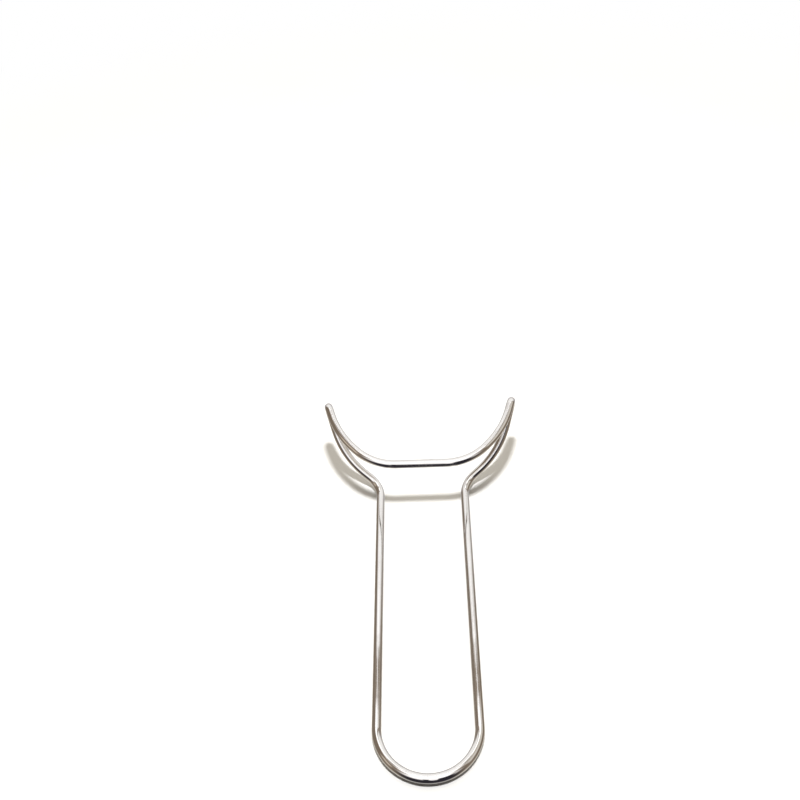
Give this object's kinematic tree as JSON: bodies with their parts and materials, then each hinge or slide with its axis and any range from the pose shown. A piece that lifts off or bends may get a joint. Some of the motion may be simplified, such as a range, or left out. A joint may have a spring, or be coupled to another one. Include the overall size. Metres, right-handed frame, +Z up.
{
  "type": "cheek retractor",
  "caption": "Bent wire cheek and lip retractor: a long flat loop handle whose legs spread into two horns, joined by a raised curved bow that hooks back over the neck.",
  "frame": {"origin": "under the middle of the overall length, on the surface that the handle lies on", "axes": "+X to the right-hand horn, +Y from the rounded handle end to the horns, +Z up from the handle wires to the bow"},
  "size_m": [0.0732, 0.1386, 0.0274],
  "materials": {
    "polished_wire": "mirror-polished stainless steel wire"
  },
  "bodies": {
    "root": {"bow_bar": "polished_wire", "handle_end_bend": "polished_wire", "left_arm": "polished_wire", "left_bow_side": "polished_wire", "left_horn": "polished_wire", "left_leg": "polished_wire", "left_neck_bend": "polished_wire", "right_arm": "polished_wire", "right_bow_side": "polished_wire", "right_horn": "polished_wire", "right_leg": "polished_wire", "right_neck_bend": "polished_wire"}
  },
  "joints": []
}
